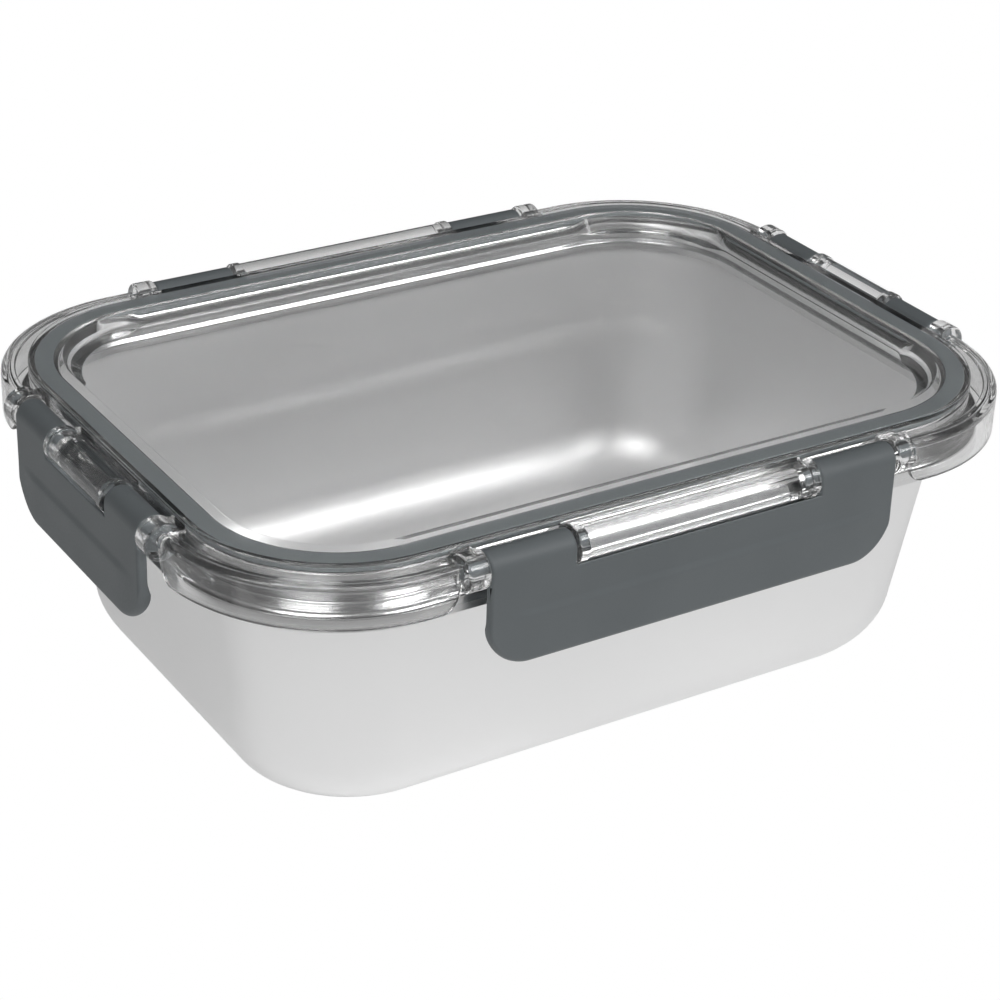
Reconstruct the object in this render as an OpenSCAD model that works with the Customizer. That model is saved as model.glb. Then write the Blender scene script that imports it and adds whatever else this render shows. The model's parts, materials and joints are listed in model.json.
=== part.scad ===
// Rectangular steel lunch box with a clear lid, a soft seal and four side latches.
// Rims, seal and skirts all run round one path: a rectangle whose four corners are the
// centres of the box's rounded corners. A reach is a distance outward from that path.
// Heights are above the base. Sides are modelled facing -Y and turned into place.

/* [Corner path] */
// Distance of the corner centres from the middle of the box, along its length
path_x = 64; // [58:0.5:70]
// Distance of the corner centres from the middle of the box, along its width
path_y = 37; // [34:0.5:42]

/* [Container] */
// Height of the flat steel flange outside the sealing bead
rim_z = 63.6; // [62:0.1:64]
// Height of the sealing bead above the flange
bead_rise = 7.1; // [6.6:0.1:7.3]
// Thickness of the steel sheet
sheet = 0.6; // [0.5:0.1:0.8]
// Reach of the wall's outer face just below the rim
wall_reach = 29; // [28.8:0.1:29.2]
// Slope of the straight walls in degrees
wall_draft = 7.3; // [4:0.1:8]
// Share of the wall's inward slope that the corner radius takes up
corner_share = 0.4; // [0.2:0.1:0.8]
// Outer radius of the bottom edge
base_fillet = 17; // [12:0.5:19]
// Reach of the outer face of the turned-down lip
lip_reach = 37.5; // [37:0.1:37.5]
// Height of the turned-down lip
lip_drop = 4.5; // [3.5:0.1:4.6]

/* [Lid] */
// Height of the top of the lid's raised rim
lid_z = 73.3; // [72.8:0.1:73.5]
// Height of the top of the sunken middle panel
panel_z = 69.2; // [68.8:0.1:69.6]
// Thickness of the middle panel
panel_t = 1.8; // [1.4:0.1:2.2]
// Reach of the raised rim's inner edge
rim_in = 26.3; // [26:0.1:26.6]
// Reach of the raised rim's outer face
rim_out = 34.8; // [34.7:0.1:35.2]
// Reach of the outer face of the corner skirts
skirt_reach = 41; // [40:0.1:41.2]
// Height of the corner skirts' lower edge
skirt_z = 61.2; // [60:0.1:63]

/* [Hinges] */
// Reach of the hinge axes
axis_reach = 39.6; // [39.4:0.1:39.8]
// Height of the hinge axes
axis_z = 69.2; // [69:0.1:69.4]
// Radius of the knuckles and of the middle bars
knuckle_r = 4.3; // [4.1:0.1:4.4]
// Radius of the pins that the latches turn on
pin_r = 1.5; // [1.2:0.1:1.8]
// Length of each knuckle
knuckle_len = 5.2; // [4.5:0.1:6.5]

/* [Latches] */
// Length of the two latches on the long sides
long_latch = 104; // [90:1:106]
// Width of the notch in the long latches
long_notch = 62.8; // [50:0.2:68]
// Length of the two latches on the short sides
short_latch = 63; // [56:1:64]
// Width of the notch in the short latches
short_notch = 30.4; // [24:0.2:34]
// Distance from the hinge axis down to a latch's lower edge
latch_drop = 23.1; // [20:0.1:26]
// Thickness of a latch's plate
latch_t = 2.4; // [2:0.1:2.6]
// Outer radius of a latch's curled arms
arm_r = 3.7; // [3.5:0.1:3.8]
// Radius of a latch's lower corners
latch_corner = 10; // [6:0.5:11]

/* [Hidden] */
$fn = 64;

steel = [0.78, 0.78, 0.79];
clear = [0.9, 0.93, 0.94, 0.35];
grey = [0.42, 0.45, 0.46];
seal_grey = [0.47, 0.5, 0.51];

// Container: step at the top of the wall, sealing bead, bends of flange and lip, and
// steps along each curve
step_z = rim_z - 1.2;
step_in = 1.5;
step_out = 0.9;
step_turn = 48;
bead_r = 1.9;
flange_bend = 0.6;
lip_bend = 1.4;
corner_steps = 9;
step_steps = 2;
bead_steps = 6;
bend_steps = 3;
fillet_steps = 7;

// Seal: its faces and its gap to the steel bead
seal_in = 28.9;
seal_out = 33.3;
seal_gap = 0.1;
seal_top = lid_z - 1.4;
seal_low = rim_z + bead_rise + 0.05;
seal_edge = 0.35;

// Lid: edge bevels, outer groove wall, and the recess wall, which slopes at the corners and
// is steep along the straight sides
bevel = 0.5;
under_bevel = 1.2;
groove_wall_z = 66.5;
corner_foot = rim_in - (lid_z - bevel - panel_z);
side_foot = 25.6;
side_past = 3;
side_ramp = 5;

// Lid corners: top flange, raised edge and skirt
flange_z = lid_z - 2;
flange_t = 1.6;
edge_rise = 0.3;
edge_width = 1.8;
skirt_t = 1.5;
skirt_end = [4.5, 7.4];

// Hinges: gaps between the latches and the knuckles and bars, pin clearance and inner pin
// length, disc ends of the middle bars, and webs
side_gap = 0.25;
bar_gap = 0.4;
pin_gap = 0.05;
pin_end_gap = 0.3;
inner_pin = 3;
disc_len = 2.4;
bar_r = knuckle_r - 0.35;
web_top = lid_z - 1.2;
web_low = axis_z - 2;
notch_gap = 0.25;

// Latches: bend of the outer face, slight outward flare, thicker grip, and the catch that
// goes under the steel lip
bend = 0.35;
bend_z = -9.1;
bend_end_z = -11.9;
flare = 0.4;
grip_round = 1.75;
grip_in = 0.55;
grip_z = -11.5;
catch_gap = 0.1;
catch_z = rim_z - lip_drop - 0.3 - axis_z;
catch_t = 1;
catch_slope = 2.4;
catch_margin = 9;

big = 300;

// Points along an arc in a section plane
function arc(c, r, from, to, steps) =
    [for (i = [0:steps]) c + r * [cos(from + (to - from) * i / steps), sin(from + (to - from) * i / steps)]];

// One closed ring round the box: half length, corner radius and height
function ring(half, r, z) =
    [for (q = [0:3], i = [0:corner_steps])
        let (a = 90 * (q + i / corner_steps), sx = (q == 0 || q == 3) ? 1 : -1, sy = q < 2 ? 1 : -1)
        [sx * (half - r) + r * cos(a), sy * (half - path_x + path_y - r) + r * sin(a), z]];

// A ring at a reach on the rim, and one on the sloping wall, set in by a distance
function rim_ring(p) = ring(path_x + p[0], p[0], p[1]);
function wall_ring(inset, skin, z) =
    ring(path_x + wall_reach - inset - skin, wall_reach - corner_share * inset - skin, z);

// How far the wall's bottom fillet is centred inside the wall's top
fillet_in = (step_z - base_fillet) * tan(wall_draft) + base_fillet / cos(wall_draft);

// Rings of the bottom fillet, on the outer face (skin 0) or the inner face (skin = sheet)
function fillet_rings(skin) =
    [for (i = [0:fillet_steps])
        let (t = 90 - (90 - wall_draft) * i / fillet_steps)
        wall_ring(fillet_in - base_fillet * cos(t), skin * cos(t), base_fillet - (base_fillet - skin) * sin(t))];

// Section of the steel rim's skin, pushed out by a thickness t: up the step, over the
// sealing bead, along the flange and down the lip
bead_c = [wall_reach - sheet + 0.8 + bead_r, rim_z + bead_rise - bead_r];
function rim_skin(t) = concat(
    arc([wall_reach - sheet + step_in, step_z], step_in - t, 180, 180 - step_turn, step_steps),
    arc([bead_c[0] - bead_r - step_out, rim_z + 0.6], step_out + t, -step_turn, 0, step_steps),
    arc(bead_c, bead_r - t, 180, 0, bead_steps),
    arc([bead_c[0] + bead_r + flange_bend, rim_z + flange_bend], flange_bend + t, 180, 270, bend_steps),
    arc([lip_reach - lip_bend, rim_z - lip_bend], lip_bend - t, 90, 0, bend_steps),
    [[lip_reach - t, rim_z - lip_drop]]);

function reversed(list) = [for (i = [len(list) - 1:-1:0]) list[i]];

// Closed skin through a list of rings, capped by the first and the last
module loft(rings) {
    n = len(rings[0]);
    last = len(rings) - 1;
    sides = [for (k = [0:last - 1], i = [0:n - 1])
        let (j = (i + 1) % n)
        each [[k * n + i, (k + 1) * n + i, (k + 1) * n + j], [k * n + i, (k + 1) * n + j, k * n + j]]];
    first_cap = [for (i = [0:n - 1]) i];
    last_cap = [for (i = [n - 1:-1:0]) last * n + i];
    polyhedron([for (r = rings) each r], concat(sides, [first_cap, last_cap]), convexity = 6);
}

// Runs a section (reach, height) round the corner path
module around() {
    for (q = [0:3]) {
        a = q % 2 == 0 ? path_x : path_y;
        b = q % 2 == 0 ? path_y : path_x;
        rotate([0, 0, 90 * q]) translate([a, b, 0]) {
            rotate_extrude(angle = 90) children();
            rotate([90, 0, 0]) linear_extrude(2 * b) children();
        }
    }
}

// Copies a side's piece to both long sides, or to both short sides
module long_sides() {
    for (a = [0, 180]) rotate([0, 0, a]) translate([0, -path_y, 0]) children();
}
module short_sides() {
    for (a = [90, -90]) rotate([0, 0, a]) translate([0, -path_x, 0]) children();
}

// A bar along X, centred on the hinge axis of a side, and a section extruded along X
module bar(r, from, to) {
    translate([from, 0, 0]) rotate([0, 90, 0]) cylinder(r = r, h = to - from);
}
module along_x(half) {
    translate([-half, 0, 0]) rotate([90, 0, 90]) linear_extrude(2 * half) children();
}

module container() {
    color(steel) loft(concat(
        fillet_rings(0),
        [for (p = rim_skin(sheet)) rim_ring(p)],
        [for (p = reversed(rim_skin(0))) rim_ring(p)],
        reversed(fillet_rings(sheet))));
}

module seal() {
    color(seal_grey) around() polygon([
        [seal_in, seal_top], [seal_out, seal_top], [seal_out, seal_low + seal_edge],
        [seal_out - seal_edge, seal_low], [seal_in + seal_edge, seal_low],
        [seal_in, seal_low + seal_edge]]);
}

// Steep recess wall along a straight side, with slanted ends at the corners
module side_recess(half) {
    inner = corner_foot - 4;
    intersection() {
        along_x(half) polygon([[-inner, panel_z], [-side_foot, panel_z], [-rim_in, lid_z - bevel],
            [-rim_in, lid_z + 1], [-inner, lid_z + 1]]);
        linear_extrude(lid_z + 2) polygon([[-half, -inner], [-half, -corner_foot],
            [-half + side_ramp, -rim_in], [half - side_ramp, -rim_in], [half, -corner_foot],
            [half, -inner]]);
    }
}

// Rim, groove for the seal and sunken panel of the lid
module lid_dish() {
    groove_in = seal_in - seal_gap;
    groove_out = seal_out + seal_gap;
    wall_top = lid_z - bevel;
    low = panel_z - panel_t;
    difference() {
        union() {
            around() polygon([
                [0, panel_z], [corner_foot, panel_z], [rim_in, wall_top], [rim_in + bevel, lid_z],
                [rim_out - bevel, lid_z], [rim_out, wall_top], [rim_out, groove_wall_z],
                [groove_out, groove_wall_z], [groove_out, seal_top], [groove_in, seal_top],
                [groove_in, low + under_bevel], [groove_in - under_bevel, low], [0, low]]);
            translate([-path_x, -path_y, low]) cube([2 * path_x, 2 * path_y, panel_t]);
        }
        long_sides() side_recess(path_x + side_past);
        short_sides() side_recess(path_y + side_past);
    }
}

// Region beyond the knuckles, with the rounded lower end of a skirt
module beyond(start) {
    w = skirt_end[0];
    h = skirt_end[1];
    curve = [for (a = [0:9:90]) [start + w - w * cos(a), skirt_z + h - h * sin(a)]];
    for (turn = [0, 180]) rotate([0, 0, turn]) rotate([90, 0, 0]) translate([0, 0, -big])
        linear_extrude(2 * big)
            polygon(concat(curve, [[start + w, skirt_z - 1], [big, skirt_z - 1], [big, big], [start, big]]));
}

module lid_corners() {
    low = flange_z - flange_t;
    edge = skirt_reach - edge_width;
    intersection() {
        around() polygon([
            [rim_out - 1, flange_z], [edge - edge_rise, flange_z], [edge, flange_z + edge_rise],
            [skirt_reach - 0.7, flange_z + edge_rise], [skirt_reach, flange_z - 0.4],
            [skirt_reach, skirt_z], [skirt_reach - skirt_t, skirt_z],
            [skirt_reach - skirt_t, low], [rim_out - 1, low]]);
        beyond(long_latch / 2 + side_gap + knuckle_len);
        rotate([0, 0, 90]) beyond(short_latch / 2 + side_gap + knuckle_len);
    }
}

// Knuckles, middle bar and webs on one side of the lid, bored for the latch's pins
module lid_hinge(latch_len, notch_len) {
    inner = notch_len / 2 - bar_gap;
    outer = latch_len / 2 + side_gap;
    difference() {
        union() {
            translate([0, -axis_reach, axis_z]) {
                bar(bar_r, -inner, inner);
                for (s = [0, 180]) rotate([0, 0, s]) {
                    bar(knuckle_r, inner - disc_len, inner);
                    bar(knuckle_r, outer, outer + knuckle_len);
                }
            }
            for (span = [[-inner, inner], [outer, outer + knuckle_len], [-outer - knuckle_len, -outer]])
                translate([span[0], -axis_reach, web_low])
                    cube([span[1] - span[0], axis_reach - rim_out + 0.5, web_top - web_low]);
        }
        for (s = [0, 180]) translate([0, -axis_reach, axis_z]) rotate([0, 0, s]) {
            bar(pin_r + pin_gap, inner - inner_pin - pin_end_gap, inner + 1);
            bar(pin_r + pin_gap, outer - 1, outer + knuckle_len + 1);
        }
    }
}

module lid() {
    color(clear) {
        lid_dish();
        lid_corners();
        long_sides() lid_hinge(long_latch, long_notch);
        short_sides() lid_hinge(short_latch, short_notch);
    }
}

// Section of a latch below its hinge axis: flat plate, then the thicker grip
module latch_section() {
    inner = -arm_r + latch_t;
    polygon([[inner, 0], [-arm_r, 0], [-arm_r, bend_z], [-arm_r - bend, bend_end_z],
        [-arm_r - flare, grip_round - latch_drop], [-grip_in - 0.1, grip_round - latch_drop],
        [-grip_in, grip_z - 5], [inner, grip_z]]);
    translate([-arm_r - flare + grip_round, grip_round - latch_drop]) circle(r = grip_round);
}

// Section of the catch: flat on top, sloping below, just clear of the steel lip
module catch_section() {
    nose = lip_reach + catch_gap;
    tip = axis_reach - nose;
    polygon([[-arm_r + 1, catch_z], [tip, catch_z], [tip, catch_z - catch_t],
        [-arm_r + 1, catch_z - catch_t - catch_slope]]);
}

// Outline of a latch seen from the front, with rounded lower corners
module latch_outline(half) {
    rotate([90, 0, 0]) translate([0, 0, -big]) linear_extrude(2 * big) {
        translate([-half, latch_corner - latch_drop]) square([2 * half, big]);
        translate([latch_corner - half, -latch_drop - 1]) square([2 * (half - latch_corner), big]);
        for (s = [-1, 1]) translate([s * (half - latch_corner), latch_corner - latch_drop])
            circle(r = latch_corner);
    }
}

// A latch about its own hinge axis, which lies along X, with its two outer and two inner pins
module latch(length, notch) {
    half = length / 2;
    outer = half + side_gap + knuckle_len - pin_end_gap;
    inner = notch / 2 - bar_gap - inner_pin;
    intersection() {
        difference() {
            union() {
                along_x(half) latch_section();
                along_x(half - catch_margin) catch_section();
                bar(arm_r, -half, half);
            }
            bar(knuckle_r + notch_gap, -notch / 2, notch / 2);
            translate([-notch / 2, -arm_r - 1, 0]) cube([notch, 2 * arm_r + 2, arm_r + 1]);
        }
        latch_outline(half);
    }
    for (s = [0, 180]) rotate([0, 0, s]) bar(pin_r, inner, notch / 2 + 1);
    for (s = [0, 180]) rotate([0, 0, s]) bar(pin_r, half - 1, outer);
}

module long_latch_at(turn) {
    color(grey) rotate([0, 0, turn]) translate([0, -path_y - axis_reach, axis_z])
        latch(long_latch, long_notch);
}
module short_latch_at(turn) {
    color(grey) rotate([0, 0, turn]) translate([0, -path_x - axis_reach, axis_z])
        latch(short_latch, short_notch);
}
module latch_front() { long_latch_at(0); }
module latch_back() { long_latch_at(180); }
module latch_right() { short_latch_at(90); }
module latch_left() { short_latch_at(-90); }

container();
seal();
lid();
latch_front();
latch_back();
latch_left();
latch_right();
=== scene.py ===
"""A steel lunch box with a clear lid, a soft seal and four side latches, dressed for rendering."""

import json
import math

import bmesh
import bpy
from mathutils import Matrix, Vector


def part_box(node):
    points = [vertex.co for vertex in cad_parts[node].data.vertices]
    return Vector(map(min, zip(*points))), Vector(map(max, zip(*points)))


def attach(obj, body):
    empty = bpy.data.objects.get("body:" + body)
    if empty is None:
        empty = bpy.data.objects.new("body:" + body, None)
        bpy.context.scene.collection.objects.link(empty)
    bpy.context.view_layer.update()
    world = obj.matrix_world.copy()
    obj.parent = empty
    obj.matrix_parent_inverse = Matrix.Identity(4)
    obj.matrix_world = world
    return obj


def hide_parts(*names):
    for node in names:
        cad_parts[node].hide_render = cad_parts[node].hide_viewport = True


MM = 0.001

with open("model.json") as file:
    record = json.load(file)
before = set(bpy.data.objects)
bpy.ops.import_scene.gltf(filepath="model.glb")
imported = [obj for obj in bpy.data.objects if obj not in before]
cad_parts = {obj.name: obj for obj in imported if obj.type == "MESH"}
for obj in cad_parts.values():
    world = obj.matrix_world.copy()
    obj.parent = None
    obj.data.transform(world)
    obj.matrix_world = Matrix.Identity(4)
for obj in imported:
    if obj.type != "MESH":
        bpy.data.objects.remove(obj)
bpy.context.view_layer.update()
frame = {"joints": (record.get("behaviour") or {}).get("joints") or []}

# ---------------------------------------------------------------- sizes, in millimetres

# Every rim, seal and skirt runs round a rectangle of corner centres. A reach is a distance
# outward from it, and heights are above the base.
LIP = 37.5
LIP_LOW = 59.1
LIP_R = 1.4
PATH_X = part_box("container")[1].x / MM - LIP
PATH_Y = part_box("container")[1].y / MM - LIP
RIM_Z = 63.6
POLISH_Z = 61.0
SHEET = 0.6

# The pan's wall slopes in towards the floor, and its corner radius shrinks by CORNER_SHARE of
# that.
WALL_REACH = 29.0
WALL_TOP = RIM_Z - 1.2
WALL_DRAFT = math.radians(7.3)
CORNER_SHARE = 0.4
BASE_FILLET = 17.0
BASE_IN = 20.0
BASE_CORNER = 4.0

# The step out from the wall, and the bead that presses into the seal.
STEP_R, STEP_TURN = 1.5, 48
BEAD_R = 1.9
BEAD_REACH = WALL_REACH - SHEET + 0.8 + BEAD_R
BEAD_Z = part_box("container")[1].z / MM - BEAD_R
BEAD_IN_R, BEAD_OUT_R = 0.9, 0.6

SEAL_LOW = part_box("seal")[0].z / MM
SEAL_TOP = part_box("seal")[1].z / MM
SEAL_IN, SEAL_OUT = 28.9, 33.3
SEAL_EDGE, SEAL_TOP_EDGE = 0.35, 0.25
SEAL_GAP, SEAL_TOP_GAP = 0.1, 0.05

# The lid's sunken panel, its rim and the groove for the seal. The foot of the recess wall is
# at SIDE_FOOT along the sides and at CORNER_FOOT round the corners. It changes over SIDE_RAMP,
# from SIDE_PAST beyond the corner centres.
LID_Z = SEAL_TOP + 1.4
PANEL_Z = 69.2
PANEL_LOW = PANEL_Z - 1.8
RIM_IN, RIM_OUT = 26.3, 34.8
RIM_BEVEL = 0.5
GROOVE_WALL_Z = 66.5
CORNER_FOOT, SIDE_FOOT = 22.7, 25.6
SIDE_PAST, SIDE_RAMP = 3.0, 5.0

# The flange and skirt round each corner. The top of the flange goes up, down and up again in
# (reach, rise, edge radius) steps, and the skirt's ends curve up over (width, height).
FLANGE_Z = LID_Z - 2.0
FLANGE_LOW = FLANGE_Z - 1.6
FLANGE_STEPS = (
    (37.6, 0, 0.2), (37.9, 0.3, 0.2), (38.6, 0.3, 0.2),
    (38.9, 0, 0.15), (39.2, 0, 0.15), (39.45, 0.3, 0.15),
)
SKIRT_REACH, SKIRT_T = 41.0, 1.5
SKIRT_TOP, SKIRT_TOP_R = FLANGE_Z + 0.3, 1.4
SKIRT_Z = 61.2
SKIRT_END = (4.5, 7.4)
SKIRT_RUN = (0.16, 0.35, 0.5, 0.62, 0.74, 0.84, 0.92, 0.97, 1, 1.2)

# The hinges: bars and knuckles on the lid, pins on the latches. OVERLAP is how far a part
# runs into the one it is joined to.
HINGES = {j["child"]: Vector(j["pos_m"]) / MM for j in frame["joints"] if j["type"] == "hinge"}
AXIS_REACH = -HINGES["latch_front"].y - PATH_Y
AXIS_Z = HINGES["latch_front"].z
KNUCKLE_R, KNUCKLE_LEN = 4.3, 5.2
BAR_R, DISC_LEN = 3.95, 2.4
PIN_R, BORE_R = 1.5, 1.55
PIN_SHORT = 0.3
SIDE_GAP, BAR_GAP = 0.25, 0.4
INNER_PIN = 3.0
OVERLAP = 1.0
WEB_LOW, WEB_HIGH = AXIS_Z - 2.0, LID_Z - 1.2
WEB_IN = 0.15

# The latches. A drop is a depth below the hinge axis, and a ramp is a (start, length) of it.
# The plate's outer face steps out at a ridge, and its inner face thickens into a finger grip.
# RIDGE_FADE is measured from the latch's ends.
ARM_R = 3.7
ARM_DROP = 6.0
PLATE_T = 2.4
PLATE_DROPS = (3.6, 6, 8, 9.5, 9.9, 10.3, 10.7, 11.1, 11.5, 11.9, 12.6)
PLATE_EDGE = 0.7
LATCH_DROP = 23.1
LATCH_CORNER, LATCH_CORNER_TURN = 10.0, 68
NOTCH_R = 4.6
NOTCH_TURNS = (68, 62, 55, 48, 41)
RIDGE, RIDGE_DROP, RIDGE_RAMP = 0.5, 10.5, (9.9, 2.0)
RIDGE_SLOPE = 0.12
RIDGE_FADE = (1.5, 9)
TUCK, TUCK_RAMP = 0.22, (11.9, 5)
THICKEN, THICKEN_RAMP = 0.9, (11.5, 5)
THIN, THIN_RAMP = 0.3, (17, 5)
CATCH_IN, CATCH_T, CATCH_ROOT = 9.0, 1.0, 3.4
CATCH_GAP, CATCH_TOP_GAP = 0.1, 0.3
CATCH_TAPER = 0.6

LONG = {"half": 52.0, "notch": 31.4}
SHORT = {"half": 31.5, "notch": 15.2}
SIDES = {
    "latch_front": (0, LONG, PATH_Y),
    "latch_right": (90, SHORT, PATH_X),
    "latch_back": (180, LONG, PATH_Y),
    "latch_left": (270, SHORT, PATH_X),
}

# How finely corners and fillets are divided, and the shares of a side that have lid stations.
CORNER_STEPS = 24
FILLET_STEPS = 16
LID_SHARES = (0.008, 0.0156, 0.028, 0.05, 0.25, 0.5, 0.75, 0.95, 0.972, 0.9844, 0.992)

# The studio floor, and the level direction from the box to the side it is photographed from.
FLOOR_R, FLOOR_Z, FLOOR_LOW = 6000, -0.02, -20
PHOTO_SIDE = (-0.54, -0.84, 0)

# ---------------------------------------------------------------- curves and sections


def arc(centre, radius, start, end, steps):
    """Points of an arc, with angles in degrees."""
    turns = [math.radians(start + (end - start) * i / steps) for i in range(steps + 1)]
    return [(centre[0] + radius * math.cos(t), centre[1] + radius * math.sin(t)) for t in turns]


def rounded(corners, steps=4):
    """A polyline through (a, b, radius) corners, with each corner rounded to its radius."""
    points = []
    for i, (a, b, radius) in enumerate(corners):
        here = Vector((a, b))
        if radius == 0 or i in (0, len(corners) - 1):
            points.append((a, b))
            continue
        back = (Vector(corners[i - 1][:2]) - here).normalized()
        ahead = (Vector(corners[i + 1][:2]) - here).normalized()
        half = back.angle(ahead) / 2
        centre = here + (back + ahead).normalized() * radius / math.sin(half)
        first = here + back * radius / math.tan(half) - centre
        last = here + ahead * radius / math.tan(half) - centre
        swing = first.angle_signed(last)
        for k in range(steps + 1):
            spoke = first.copy()
            spoke.rotate(Matrix.Rotation(-swing * k / steps, 2))
            points.append(tuple(centre + spoke))
    return points


def clamp(t):
    return min(max(t, 0.0), 1.0)


def smooth(t):
    """An eased step from 0 to 1."""
    t = clamp(t)
    return t * t * (3 - 2 * t)


def stations(straight=()):
    """Places round the box: shares of the corner centre's x and y, and a direction in degrees.
    straight gives extra shares along each straight side."""
    signs = [(1, 1), (-1, 1), (-1, -1), (1, -1)]
    places = []
    for q, (sx, sy) in enumerate(signs):
        for i in range(CORNER_STEPS + 1):
            places.append((sx, sy, 90 * (q + i / CORNER_STEPS)))
        nx, ny = signs[(q + 1) % 4]
        for share in straight:
            places.append((sx + (nx - sx) * share, sy + (ny - sy) * share, 90 * (q + 1)))
    return places


def ring(reach, z, places, corner=None, half=None):
    """One ring round the box. corner and half give a corner that isn't on the corner centres."""
    radius = reach if corner is None else corner
    half = PATH_X + reach if half is None else half
    cx, cy = half - radius, half - radius - PATH_X + PATH_Y
    points = []
    for fx, fy, turn in places:
        t = math.radians(turn)
        points.append(Vector((fx * cx + radius * math.cos(t), fy * cy + radius * math.sin(t), z)))
    return points


# ---------------------------------------------------------------- meshes


def skin(name, rings, loop=False):
    """A closed mesh through rings of equal length, capped at both ends unless it is a loop."""
    n, m = len(rings[0]), len(rings)
    faces = []
    for k in range(m if loop else m - 1):
        a, b = k * n, (k + 1) % m * n
        faces += [(a + i, a + (i + 1) % n, b + (i + 1) % n, b + i) for i in range(n)]
    if not loop:
        faces += [tuple(range(n)), tuple(range((m - 1) * n, m * n))]
    mesh = bpy.data.meshes.new(name)
    mesh.from_pydata([Vector(p) * MM for r in rings for p in r], [], faces)
    bm = bmesh.new()
    bm.from_mesh(mesh)
    bmesh.ops.remove_doubles(bm, verts=bm.verts, dist=1e-6)
    bmesh.ops.recalc_face_normals(bm, faces=bm.faces)
    bm.to_mesh(mesh)
    bm.free()
    ob = bpy.data.objects.new(name, mesh)
    bpy.context.scene.collection.objects.link(ob)
    return ob


def apply_modifiers(ob):
    """Makes what an object's modifiers do part of its mesh."""
    graph = bpy.context.evaluated_depsgraph_get()
    mesh = bpy.data.meshes.new_from_object(ob.evaluated_get(graph))
    ob.modifiers.clear()
    ob.data = mesh


def combine(ob, others, operation):
    """Joins or cuts ob with other closed meshes, which are then removed."""
    for other in others:
        step = ob.modifiers.new("step", "BOOLEAN")
        step.operation, step.solver, step.object = operation, "MANIFOLD", other
    apply_modifiers(ob)
    for other in others:
        bpy.data.objects.remove(other)


def turned(name, profile, centre, sides=48):
    """A closed round bar along X through (along, radius) points."""
    rings = []
    for along, radius in profile:
        circle = arc((centre[1], centre[2]), radius, 0, 360, sides)[:-1]
        rings.append([(centre[0] + along, y, z) for y, z in circle])
    return skin(name, rings)


def quarter_turn():
    """The directions, in radians, of the rings on a rounded end edge."""
    return [math.radians(15 * i) for i in range(7)]


def round_bar(name, start, end, radius, edge, centre):
    """A round bar along X with rounded end edges."""
    turn = [(math.sin(t), 1 - math.cos(t)) for t in quarter_turn()]
    head = [(start + edge * (1 - s), radius - edge * c) for s, c in reversed(turn)]
    tail = [(end - edge * (1 - s), radius - edge * c) for s, c in turn]
    return turned(name, head + tail, centre)


def place(ob, turn):
    """Turns a piece modelled facing -Y about the box's middle."""
    ob.data.transform(Matrix.Rotation(math.radians(turn), 4, "Z"))


def dress(ob, material, body, nodes, crease=35):
    """Shades a finished piece and says what it stands for."""
    mesh = ob.data
    mesh.materials.clear()
    mesh.materials.append(material)
    mesh.shade_smooth()
    mesh.set_sharp_from_angle(angle=math.radians(crease))
    weigh = ob.modifiers.new("weighted", "WEIGHTED_NORMAL")
    weigh.keep_sharp = True
    apply_modifiers(ob)
    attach(ob, body)
    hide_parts(*nodes)


# ---------------------------------------------------------------- nodes


def new_material(name):
    """A new material, its node tree and its main shader."""
    material = bpy.data.materials.new(name)
    material.use_nodes = True
    tree = material.node_tree
    return material, tree, tree.nodes["Principled BSDF"]


def add(tree, kind, **values):
    """A new node, with values for its sockets or for its own settings."""
    node = tree.nodes.new(kind)
    for key, value in values.items():
        if key in node.inputs:
            node.inputs[key].default_value = value
        else:
            setattr(node, key, value)
    return node


def feed(tree, value, socket):
    """Gives a socket a fixed tuple or the output of another node."""
    if isinstance(value, tuple):
        socket.default_value = value
    else:
        tree.links.new(value, socket)


def vector_maths(tree, operation, first, second=(0, 0, 0)):
    """Vector maths on the output of a node and, where it takes two, a vector or an output."""
    node = add(tree, "ShaderNodeVectorMath", operation=operation)
    tree.links.new(first, node.inputs[0])
    feed(tree, second, node.inputs[1])
    return node.outputs["Value" if operation in ("DOT_PRODUCT", "LENGTH") else "Vector"]


def maths(tree, operation, first, second):
    """Maths on the outputs of two nodes."""
    node = add(tree, "ShaderNodeMath", operation=operation)
    tree.links.new(first, node.inputs[0])
    tree.links.new(second, node.inputs[1])
    return node.outputs["Value"]


def noise(tree, scale, detail=3.0, stretch=(1, 1, 1)):
    """Noise over the object's own space, with its scale in metres."""
    where = add(tree, "ShaderNodeTexCoord")
    mapping = add(tree, "ShaderNodeMapping", Scale=stretch)
    texture = add(tree, "ShaderNodeTexNoise", Scale=scale, Detail=detail)
    tree.links.new(where.outputs["Object"], mapping.inputs["Vector"])
    tree.links.new(mapping.outputs["Vector"], texture.inputs["Vector"])
    return texture.outputs["Fac"]


def remap(tree, value, low, high, from_low=0.3, from_high=0.7):
    """Takes from_low to low and from_high to high. Most noise lies between the defaults."""
    node = add(tree, "ShaderNodeMapRange")
    node.inputs["From Min"].default_value = from_low
    node.inputs["From Max"].default_value = from_high
    node.inputs["To Min"].default_value = low
    node.inputs["To Max"].default_value = high
    tree.links.new(value, node.inputs["Value"])
    return node.outputs["Result"]


def height(tree, where):
    """The third part of a position or direction."""
    axes = add(tree, "ShaderNodeSeparateXYZ")
    tree.links.new(where, axes.inputs["Vector"])
    return axes.outputs["Z"]


def mix_colours(tree, factor, first, second):
    """A mix of two colours, each of them fixed or made by other nodes."""
    node = add(tree, "ShaderNodeMix", data_type="RGBA")
    tree.links.new(factor, node.inputs[0])
    sockets = [s for s in node.inputs if s.type == "RGBA"]
    feed(tree, first, sockets[0])
    feed(tree, second, sockets[1])
    return next(s for s in node.outputs if s.type == "RGBA")


def mix_greys(tree, factor, first, second):
    """A mix of two fixed greys."""
    return mix_colours(tree, factor, (first, first, first, 1), (second, second, second, 1))


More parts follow.
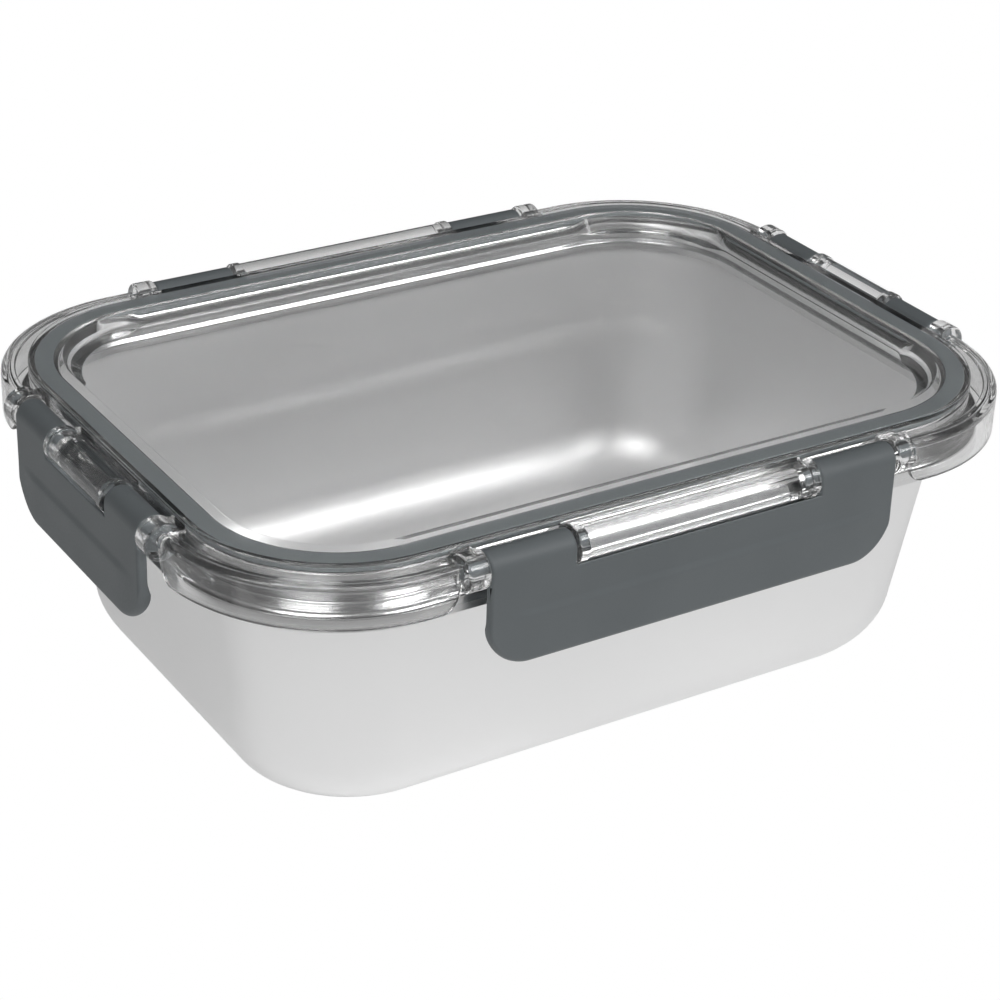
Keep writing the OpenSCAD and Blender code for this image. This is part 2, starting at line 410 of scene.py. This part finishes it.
def bump(tree, shader, relief, distance):
    """Fine relief, with its depth in metres."""
    node = add(tree, "ShaderNodeBump", Strength=1.0, Distance=distance)
    tree.links.new(relief, node.inputs["Height"])
    tree.links.new(node.outputs["Normal"], shader.inputs["Normal"])


def switch_shader(tree, ray, usual, other):
    """Shows another shader to one kind of ray, and the usual one to the rest."""
    path = add(tree, "ShaderNodeLightPath")
    mix = add(tree, "ShaderNodeMixShader")
    tree.links.new(path.outputs[ray], mix.inputs["Fac"])
    tree.links.new(usual, mix.inputs[1])
    tree.links.new(other, mix.inputs[2])
    tree.links.new(mix.outputs["Shader"], tree.nodes["Material Output"].inputs["Surface"])


# ---------------------------------------------------------------- materials


def steel_material():
    """Satin drawn steel, faintly brushed and cloudy, rougher inside than outside, and polished
    at the rim. Its lighter grey inside is painted light that brightens the inside of the pan."""
    material, tree, shader = new_material("satin_steel")
    shader.inputs["Metallic"].default_value = 1.0
    where = add(tree, "ShaderNodeTexCoord")
    # The inside is what faces a point well above the middle of the box.
    from_above = vector_maths(tree, "SUBTRACT", where.outputs["Object"], (0, 0, 0.2))
    facing = vector_maths(tree, "DOT_PRODUCT", from_above, where.outputs["Normal"])
    inside = remap(tree, facing, 1, 0, -0.004, 0.004)

    cloud = remap(tree, noise(tree, 18, 2), 0, 1)
    outer = mix_greys(tree, cloud, 0.79, 0.81)
    # The lighter inner grey is painted light: the same steel, made lighter so the inside looks
    # brighter.
    inner = mix_greys(tree, cloud, 0.82, 0.84)
    tree.links.new(mix_colours(tree, inside, outer, inner), shader.inputs["Base Color"])

    brushing = noise(tree, 2400, 3, (0.12, 0.12, 1))
    brushed = remap(tree, brushing, 0.3, 0.34)
    rougher = remap(tree, inside, 0, 0.15, 0, 1)
    rise = height(tree, where.outputs["Object"])
    polish = remap(tree, rise, 1.0, 0.45, (POLISH_Z - 0.5) * MM, (POLISH_Z + 0.5) * MM)
    roughness = maths(tree, "MULTIPLY", maths(tree, "ADD", brushed, rougher), polish)
    tree.links.new(roughness, shader.inputs["Roughness"])
    bump(tree, shader, brushing, 0.0000004)
    return material


def clear_material():
    """Clear moulded plastic, very slightly uneven. It lets light through to the inside."""
    material, tree, shader = new_material("clear_plastic")
    shader.inputs["Base Color"].default_value = (0.99, 0.99, 0.99, 1)
    shader.inputs["Transmission Weight"].default_value = 1.0
    shader.inputs["IOR"].default_value = 1.47
    shader.inputs["Alpha"].default_value = 0.92
    tree.links.new(remap(tree, noise(tree, 60, 2), 0.0, 0.012), shader.inputs["Roughness"])
    through = add(tree, "ShaderNodeBsdfTransparent", Color=(0.95, 0.95, 0.95, 1))
    switch_shader(tree, "Is Shadow Ray", shader.outputs["BSDF"], through.outputs["BSDF"])
    return material


def latch_material():
    """Matt grey moulded plastic with a fine spark-eroded grain."""
    material, tree, shader = new_material("grey_plastic")
    grain = noise(tree, 2600, 3)
    cloud = remap(tree, noise(tree, 45, 3), 0, 1)
    colour = mix_colours(tree, cloud, (0.13, 0.145, 0.152, 1), (0.144, 0.16, 0.167, 1))
    tree.links.new(colour, shader.inputs["Base Color"])
    tree.links.new(remap(tree, grain, 0.48, 0.6), shader.inputs["Roughness"])
    shader.inputs["Specular IOR Level"].default_value = 0.4
    bump(tree, shader, grain, 0.00002)
    return material


def seal_material():
    """Soft matt silicone with a fine speckle."""
    material, tree, shader = new_material("grey_silicone")
    speckle = noise(tree, 1500, 3)
    mottle = remap(tree, speckle, 0, 1)
    colour = mix_colours(tree, mottle, (0.165, 0.182, 0.188, 1), (0.18, 0.198, 0.204, 1))
    tree.links.new(colour, shader.inputs["Base Color"])
    tree.links.new(remap(tree, speckle, 0.5, 0.66), shader.inputs["Roughness"])
    bump(tree, shader, speckle, 0.00001)
    return material


# ---------------------------------------------------------------- container


def rim_skin(push):
    """Section of the steel rim, pushed out by a thickness: step, sealing bead, flange and lip."""
    foot = WALL_REACH - SHEET
    bead_in, bead_out = BEAD_REACH - BEAD_R, BEAD_REACH + BEAD_R
    points = arc((foot + STEP_R, WALL_TOP), STEP_R - push, 180, 180 - STEP_TURN, 5)
    points += arc((bead_in - BEAD_IN_R, RIM_Z + BEAD_OUT_R), BEAD_IN_R + push, -STEP_TURN, 0, 5)
    points += arc((BEAD_REACH, BEAD_Z), BEAD_R - push, 180, 0, 16)
    points += arc((bead_out + BEAD_OUT_R, RIM_Z + BEAD_OUT_R), BEAD_OUT_R + push, 180, 270, 6)
    points += arc((LIP - LIP_R, RIM_Z - LIP_R), LIP_R - push, 90, 0, 8)
    return points + [(LIP - push, (LIP_LOW + RIM_Z) / 2), (LIP - push, LIP_LOW)]


def wall_ring(inset, depth, z, places):
    """A ring of the sloping wall, set in from its top, on a face at some depth in the sheet."""
    corner = WALL_REACH - CORNER_SHARE * inset - depth
    return ring(0, z, places, corner, PATH_X + WALL_REACH - inset - depth)


def pan_rings(depth, places):
    """Rings of the pan from the middle of its floor to the top of its wall."""
    rise = WALL_TOP - BASE_FILLET
    centre_in = rise * math.tan(WALL_DRAFT) + BASE_FILLET / math.cos(WALL_DRAFT)
    start = math.degrees(WALL_DRAFT)
    rings = [ring(0, depth, places, BASE_CORNER, PATH_X - BASE_IN)]
    for i in range(FILLET_STEPS + 1):
        t = math.radians(90 - (90 - start) * i / FILLET_STEPS)
        inset = centre_in - BASE_FILLET * math.cos(t)
        z = BASE_FILLET - (BASE_FILLET - depth) * math.sin(t)
        rings.append(wall_ring(inset, depth * math.cos(t), z, places))
    low_z = BASE_FILLET * (1 - math.sin(WALL_DRAFT))
    low_in = centre_in - BASE_FILLET * math.cos(WALL_DRAFT)
    for share in (0.25, 0.5, 0.75):
        z = low_z + (WALL_TOP - low_z) * share
        rings.append(wall_ring(low_in * (1 - share), depth, z, places))
    return rings


def container(material):
    """The steel pan with its rim: up the inside of the sheet and back down its outside."""
    places = stations((0.25, 0.5, 0.75))
    rings = pan_rings(0, places)
    rings += [ring(r, z, places) for r, z in rim_skin(SHEET)]
    rings += [ring(r, z, places) for r, z in reversed(rim_skin(0))]
    rings += list(reversed(pan_rings(SHEET, places)))
    dress(skin("steel_container", rings), material, "container", ["container"])


# ---------------------------------------------------------------- seal


def seal(material):
    """The soft ring in the lid's groove."""
    places = stations((0.5,))
    middle, top = (SEAL_IN + SEAL_OUT) / 2, SEAL_TOP - SEAL_TOP_GAP
    section = rounded([
        (middle, top, 0),
        (SEAL_IN, top, SEAL_TOP_EDGE),
        (SEAL_IN, SEAL_LOW, SEAL_EDGE),
        (SEAL_OUT, SEAL_LOW, SEAL_EDGE),
        (SEAL_OUT, top, SEAL_TOP_EDGE),
        (middle, top, 0),
    ])[:-1]
    rings = [ring(r, z, places) for r, z in section]
    dress(skin("silicone_seal", rings, loop=True), material, "lid", ["seal"])


# ---------------------------------------------------------------- lid


def recess_foot(spot):
    """Reach of the recess wall's foot: steep along the straight sides, sloping at the corners."""
    fx, fy, turn = spot
    x = fx * PATH_X + SIDE_FOOT * math.cos(math.radians(turn))
    y = fy * PATH_Y + SIDE_FOOT * math.sin(math.radians(turn))
    over = max(PATH_X + SIDE_PAST - abs(x), PATH_Y + SIDE_PAST - abs(y))
    return CORNER_FOOT + (SIDE_FOOT - CORNER_FOOT) * clamp(over / SIDE_RAMP)


def dish_section(foot):
    """Section of the dish from the middle of the panel over the rim and back underneath, from
    (reach, height, edge radius) corners."""
    groove_in, groove_out = SEAL_IN - SEAL_GAP, SEAL_OUT + SEAL_GAP
    panel = [(foot * share, PANEL_Z) for share in (0.08, 0.3, 0.55, 0.8)]
    rim = rounded([
        (foot * 0.9, PANEL_Z, 0),
        (foot, PANEL_Z, 0.3),
        (RIM_IN, LID_Z - RIM_BEVEL, 0.3),
        (RIM_IN + RIM_BEVEL, LID_Z, 0.5),
        (RIM_OUT, LID_Z, 0.6),
        (RIM_OUT, GROOVE_WALL_Z, 0.4),
        (groove_out, GROOVE_WALL_Z, 0.3),
        (groove_out, SEAL_TOP, 0.2),
        (groove_in, SEAL_TOP, 0.2),
        (groove_in, PANEL_LOW, 1.2),
        (20, PANEL_LOW, 0),
    ])
    return panel + rim + [(10, PANEL_LOW), (2, PANEL_LOW)]


def lid_dish():
    """Rim, groove for the seal, recess wall and panel, as one closed skin."""
    columns = []
    for spot in stations(LID_SHARES):
        fx, fy, turn = spot
        c, s = math.cos(math.radians(turn)), math.sin(math.radians(turn))
        columns.append([(fx * PATH_X + r * c, fy * PATH_Y + r * s, z)
                        for r, z in dish_section(recess_foot(spot))])
    return skin("clear_lid", [list(points) for points in zip(*columns)])


def skirt_bottom(past):
    """Height of a skirt's lower edge at a distance past the knuckle, where it curves up."""
    width, rise = SKIRT_END
    t = 1 - clamp(past / width)
    return SKIRT_Z + rise * (1 - math.sqrt(1 - t * t))


def skirt_section(bottom):
    """Closed section of the flange and the skirt, whose lower edge is at a height."""
    root, inner = RIM_OUT - OVERLAP, SKIRT_REACH - SKIRT_T
    return rounded([
        (root, FLANGE_Z, 0),
        *[(reach, FLANGE_Z + rise, edge) for reach, rise, edge in FLANGE_STEPS],
        (SKIRT_REACH, SKIRT_TOP, SKIRT_TOP_R),
        (SKIRT_REACH, bottom, 0.5),
        (inner, bottom, 0.5),
        (inner, FLANGE_LOW, 0.5),
        (root, FLANGE_LOW, 0),
    ])


def lid_corner(sx, sy):
    """Flange and skirt round one corner, from knuckle to knuckle."""
    start_x = LONG["half"] + SIDE_GAP + KNUCKLE_LEN
    start_y = SHORT["half"] + SIDE_GAP + KNUCKLE_LEN
    run = PATH_X - start_x
    turns = [0.5 * i for i in range(19)] + [9 + 3 * i for i in range(1, 28)]
    spots = [(PATH_X, turn) for turn in turns]
    spots += [(PATH_X - run * share, 90) for share in SKIRT_RUN]
    rings = []
    for x, turn in spots:
        c, s = math.cos(math.radians(turn)), math.sin(math.radians(turn))
        past = x + SKIRT_REACH * c - start_x
        if turn <= 45:
            past = min(past, PATH_Y + SKIRT_REACH * s - start_y)
        section = skirt_section(skirt_bottom(past))
        rings.append([(sx * (x + r * c), sy * (PATH_Y + r * s), z) for r, z in section])
    return skin("corner", rings)


def web(start, end):
    """Bridge from the rim to a knuckle or bar, modelled facing -Y on the front side."""
    near, far = -PATH_Y - RIM_OUT + OVERLAP / 2, -PATH_Y - AXIS_REACH
    section = [(near, WEB_LOW), (near, WEB_HIGH), (far, WEB_HIGH), (far, WEB_LOW)]
    return skin("web", [[(x, y, z) for y, z in section] for x in (start + WEB_IN, end - WEB_IN)])


def lid_side(turn, size, path):
    """Middle bar, end knuckles and their webs on one side, and the bores to cut in them."""
    inner, outer = size["notch"] - BAR_GAP, size["half"] + SIDE_GAP
    last = outer + KNUCKLE_LEN
    centre = (0, -PATH_Y - AXIS_REACH, AXIS_Z)
    parts = [
        round_bar("bar", -inner + 0.5, inner - 0.5, BAR_R, 0.3, centre),
        round_bar("disc", inner - DISC_LEN, inner, KNUCKLE_R, 0.4, centre),
        round_bar("disc", -inner, -inner + DISC_LEN, KNUCKLE_R, 0.4, centre),
        web(-inner, inner),
    ]
    for start, end in ((outer, last), (-last, -outer)):
        parts += [round_bar("knuckle", start, end, KNUCKLE_R, 0.7, centre), web(start, end)]
    bores = []
    spans = ((inner - INNER_PIN - PIN_SHORT, inner + OVERLAP), (outer - OVERLAP, last + OVERLAP))
    for side in (-1, 1):
        for near, far in spans:
            start, end = sorted((side * near, side * far))
            bores.append(turned("bore", [(start, BORE_R), (end, BORE_R)], centre, 32))
    for ob in parts + bores:
        ob.data.transform(Matrix.Translation((0, (PATH_Y - path) * MM, 0)))
        place(ob, turn)
    return parts, bores


def lid(material):
    """The clear lid in one piece, bored for the latches' pins."""
    dish = lid_dish()
    parts = [lid_corner(sx, sy) for sx in (-1, 1) for sy in (-1, 1)]
    bores = []
    for turn, size, path in SIDES.values():
        side_parts, side_bores = lid_side(turn, size, path)
        parts += side_parts
        bores += side_bores
    combine(dish, parts, "UNION")
    combine(dish, bores, "DIFFERENCE")
    dress(dish, material, "lid", ["lid"], crease=28)


# ---------------------------------------------------------------- latches

# A latch is modelled about its hinge axis, facing -Y, and then moved and turned to its side.


def ramp(drop, start_and_length):
    """An eased step from 0 to 1 over part of the plate."""
    start, length = start_and_length
    return smooth((drop - start) / length)


def plate_faces(z, bend):
    """The plate's outer and inner faces at a height. bend is the share of the ridge that
    shows there."""
    step = RIDGE * bend * ramp(-z, RIDGE_RAMP)
    slope = RIDGE_SLOPE * max(-z - RIDGE_DROP, 0) / (LATCH_DROP - RIDGE_DROP)
    tuck = TUCK * bend * ramp(-z, TUCK_RAMP)
    inner = THICKEN * ramp(-z, THICKEN_RAMP) - THIN * ramp(-z, THIN_RAMP)
    return -ARM_R - step - slope + tuck, -ARM_R + PLATE_T + inner


def plate_section(low, inset, bend):
    """Closed section of the plate, with its lower edge at a height and its faces drawn in."""
    outer_low, inner_low = plate_faces(low + 1.6, bend)
    radius = (inner_low - outer_low) / 2
    base = low + radius
    heights = [-drop for drop in PLATE_DROPS]
    heights += [heights[-1] + (base - heights[-1]) * (i / 7) for i in range(1, 8)]
    outer = [(plate_faces(z, bend)[0] + inset, z) for z in heights]
    inner = [(plate_faces(z, bend)[1] - inset, z) for z in heights[1:]]
    middle = (outer[-1][0] + inner[-1][0]) / 2
    width = (inner[-1][0] - outer[-1][0]) / 2
    curve = [(middle + width * y, base + (radius - inset) * z)
             for y, z in arc((0, 0), 1, 180, 360, 12)[1:-1]]
    # The top is hollowed round the axis, to stay clear of the bar's discs.
    top = [(-ARM_R + PLATE_T - inset, -4.9), (-ARM_R + PLATE_T - 0.08 - inset, -4.55)]
    for turn in NOTCH_TURNS:
        t = math.radians(turn)
        top.append((-NOTCH_R * math.cos(t), -NOTCH_R * math.sin(t)))
    top.append((-ARM_R + 0.06 + inset, -3.2))
    return outer + curve + list(reversed(inner)) + top


def edge_stations(half, edge):
    """(x, inset) pairs from a squarish side face to the flat, for an edge of that radius."""
    return [(half - edge + edge * math.cos(t), edge * (1 - math.sin(t))) for t in quarter_turn()]


def plate(half):
    """The latch's plate, with rounded lower corners, from (x, inset, lift of the lower edge)
    stations."""
    spots = []
    for x, inset in edge_stations(half, PLATE_EDGE):
        over = (x - half + LATCH_CORNER) / LATCH_CORNER
        spots.append((x, inset, LATCH_CORNER * (1 - math.sqrt(max(1 - over * over, 0)))))
    for i in range(1, 15):
        t = math.radians(LATCH_CORNER_TURN * (1 - i / 14))
        x = half - LATCH_CORNER + LATCH_CORNER * math.sin(t)
        spots.append((x, 0, LATCH_CORNER * (1 - math.cos(t))))
    spots += [(half / 2, 0, 0), (0, 0, 0)]
    both = [(-x, inset, lift) for x, inset, lift in spots] + spots[-2::-1]
    rings = []
    for x, inset, lift in both:
        bend = ramp(half - abs(x), RIDGE_FADE)
        rings.append([(x, y, z) for y, z in plate_section(lift - LATCH_DROP, inset, bend)])
    return skin("latch", rings)


def arm(start, end):
    """One curled arm between two places along the hinge axis, with rounded end edges."""
    middle, half = (start + end) / 2, abs(end - start) / 2
    spots = edge_stations(half, PLATE_EDGE)
    spots = [(middle - x, i) for x, i in spots] + [(middle + x, i) for x, i in reversed(spots)]
    rings = []
    for x, inset in spots:
        radius = ARM_R - inset
        foot = -ARM_R + PLATE_T - inset
        last = -math.degrees(math.acos(foot / radius))
        curl = arc((0, 0), radius, 180, last, 40)
        section = [(-radius, -ARM_DROP), *curl, (foot, -ARM_DROP)]
        rings.append([(x, y, z) for y, z in section])
    return skin("arm", rings)


def catch_section(nose, top, nose_low, root_low):
    """Section of the catch from the plate to its nose and back."""
    root = -ARM_R + OVERLAP
    corners = [(root, top, 0), (nose, top, 0.25), (nose, nose_low, 0.35), (root, root_low, 0)]
    return rounded(corners, 3)


def catch(half):
    """The catch that goes under the steel lip, set in from the latch's sides."""
    reach = half - CATCH_IN
    nose = AXIS_REACH - LIP - CATCH_GAP
    top = LIP_LOW - CATCH_TOP_GAP - AXIS_Z
    full = catch_section(nose, top, top - CATCH_T, top - CATCH_ROOT)
    tapered = catch_section(nose - CATCH_TAPER, top - 0.4, top - 0.9, top - 3.0)
    spots = [
        (-reach, tapered), (-reach + CATCH_TAPER, full),
        (reach - CATCH_TAPER, full), (reach, tapered),
    ]
    return skin("catch", [[(x, y, z) for y, z in points] for x, points in spots])


def latch(node, material):
    """One latch: plate, two arms, catch and four pins in one piece."""
    turn, size, path = SIDES[node]
    half, notch = size["half"], size["notch"]
    pins = (
        (notch - BAR_GAP - INNER_PIN, notch + OVERLAP),
        (half - OVERLAP, half + SIDE_GAP + KNUCKLE_LEN - PIN_SHORT),
    )
    parts = [catch(half)]
    for side in (-1, 1):
        parts.append(arm(*sorted((side * notch, side * half))))
        for near, far in pins:
            start, end = sorted((side * near, side * far))
            parts.append(round_bar("pin", start, end, PIN_R, 0.3, (0, 0, 0)))
    ob = plate(half)
    combine(ob, parts, "UNION")
    ob.name = node.replace("latch", "side_latch")
    ob.data.transform(Matrix.Translation((0, (-path - AXIS_REACH) * MM, AXIS_Z * MM)))
    place(ob, turn)
    dress(ob, material, node, [node], crease=32)


# ---------------------------------------------------------------- studio


def floor():
    """A pale floor, white to the camera. In reflections it darkens well away from the box on
    the photographed side, as a dark card laid there would."""
    circle = arc((0, 0), FLOOR_R, 0, 360, 64)[:-1]
    ob = skin("floor", [[(x, y, z) for x, y in circle] for z in (FLOOR_LOW, FLOOR_Z)])
    material, tree, shader = new_material("pale_floor")
    where = add(tree, "ShaderNodeTexCoord").outputs["Object"]
    # The level distance past the corner centres: the third part is always below 0.
    from_middle = vector_maths(tree, "ABSOLUTE", where)
    past_corner = vector_maths(tree, "SUBTRACT", from_middle, (PATH_X * MM, PATH_Y * MM, 1))
    outside = vector_maths(tree, "MAXIMUM", past_corner)
    distance = vector_maths(tree, "LENGTH", outside)
    far = remap(tree, distance, 0, 1, 0.1, 0.135)
    front = remap(tree, vector_maths(tree, "DOT_PRODUCT", where, PHOTO_SIDE), 0, 1, 0.02, 0.12)
    dark = maths(tree, "MULTIPLY", far, front)
    tree.links.new(mix_greys(tree, dark, 0.8, 0.35), shader.inputs["Base Color"])
    tree.links.new(remap(tree, dark, 0.3, 0.1, 0, 1), shader.inputs["Emission Strength"])
    shader.inputs["Emission Color"].default_value = (1, 1, 1, 1)
    shader.inputs["Roughness"].default_value = 0.7
    shader.inputs["Specular IOR Level"].default_value = 0.2
    white = add(tree, "ShaderNodeEmission", Strength=1.0)
    switch_shader(tree, "Is Camera Ray", shader.outputs["BSDF"], white.outputs["Emission"])
    ob.data.materials.append(material)


def softbox(name, where, target, size, power):
    """A rectangular light turned to its target, with its size in metres and power in watts."""
    light = bpy.data.lights.new(name, "AREA")
    light.shape = "RECTANGLE"
    light.size, light.size_y = size
    light.energy = power
    ob = bpy.data.objects.new(name, light)
    bpy.context.scene.collection.objects.link(ob)
    ob.location = where
    ob.rotation_euler = (Vector(target) - Vector(where)).to_track_quat("-Z", "Y").to_euler()


def surround():
    """A bright surround, brightest overhead and dim low down on the photographed side."""
    world = bpy.data.worlds.new("studio")
    bpy.context.scene.world = world
    world.use_nodes = True
    tree = world.node_tree
    where = add(tree, "ShaderNodeTexCoord").outputs["Generated"]
    rise = height(tree, where)
    front = remap(tree, vector_maths(tree, "DOT_PRODUCT", where, PHOTO_SIDE), 0, 1, 0.0, 0.4)
    low = remap(tree, rise, 1, 0, 0.12, 0.4)
    dim = remap(tree, maths(tree, "MULTIPLY", front, low), 1.0, 0.12, 0, 1)
    sky = remap(tree, rise, 0.5, 2.5, 0.45, 0.85)
    tree.links.new(maths(tree, "MULTIPLY", dim, sky), tree.nodes["Background"].inputs["Strength"])


def studio():
    """The surround and two softboxes, one at the left and one in front."""
    surround()
    middle = (0, 0, 0.05)
    softbox("left", (-1.0, -0.8, 1.5), middle, (0.9, 0.9), 13)
    softbox("front", (0.7, -1.4, 1.3), middle, (1.2, 0.7), 18)


def camera():
    """The camera's place in metres, and its turn, tilt and roll in degrees."""
    spot = (-0.3023, -0.4710, 0.3321)
    yaw, pitch, roll = (math.radians(a) for a in (32.76, -27.9, 1.99))
    level = math.cos(pitch)
    ahead = Vector((math.sin(yaw) * level, math.cos(yaw) * level, math.sin(pitch)))
    right = Vector((math.cos(yaw), -math.sin(yaw), 0))
    up = right.cross(ahead)
    turned_right = math.cos(roll) * right + math.sin(roll) * up
    turned_up = -math.sin(roll) * right + math.cos(roll) * up
    data = bpy.data.cameras.new("camera")
    data.lens = 95.93
    data.sensor_width = 36
    data.clip_start = 0.01
    ob = bpy.data.objects.new("camera", data)
    bpy.context.scene.collection.objects.link(ob)
    turn = Matrix((turned_right, turned_up, -ahead)).transposed()
    ob.matrix_world = Matrix.Translation(spot) @ turn.to_4x4()
    bpy.context.scene.camera = ob


# ---------------------------------------------------------------- the object

container(steel_material())
seal(seal_material())
lid(clear_material())
grey = latch_material()
for node in SIDES:
    latch(node, grey)

floor()
studio()
camera()
bpy.context.scene.view_settings.view_transform = "Standard"
